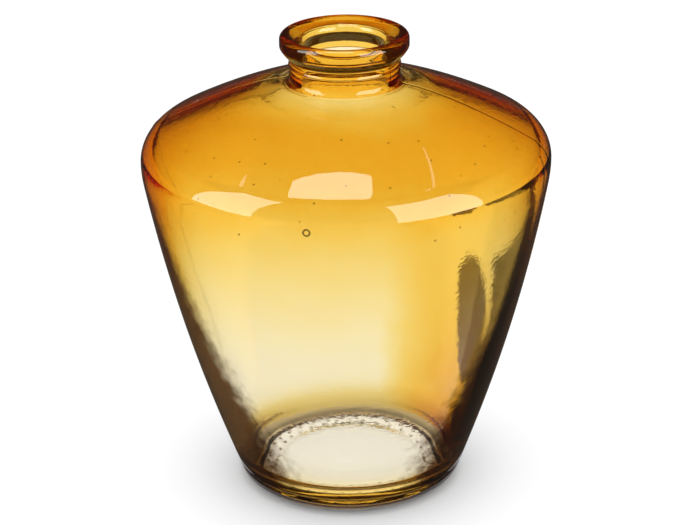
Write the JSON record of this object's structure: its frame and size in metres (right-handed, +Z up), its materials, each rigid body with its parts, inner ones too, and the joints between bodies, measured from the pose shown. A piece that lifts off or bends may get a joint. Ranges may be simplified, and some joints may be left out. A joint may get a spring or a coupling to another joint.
{
  "type": "glass bud vase",
  "caption": "Heavy clear glass bud vase, tapering from a broad domed shoulder to a small foot, with a short beaded neck and an amber lacquer film on the outside.",
  "frame": {"origin": "centre of the ring that the vase stands on, in the plane of that ring", "axes": "+Z up along the vase's axis of revolution; the two mould seams lie near the XZ plane"},
  "size_m": [0.14, 0.14, 0.162],
  "materials": {
    "clear_glass": "smooth pressed and blown glass, gently wavy, with small seeds",
    "amber_lacquer": "glossy translucent film, deep amber at the shoulder and pale at the foot"
  },
  "bodies": {
    "root": {"glass_vessel": "clear_glass", "amber_coat": "amber_lacquer"}
  },
  "joints": []
}
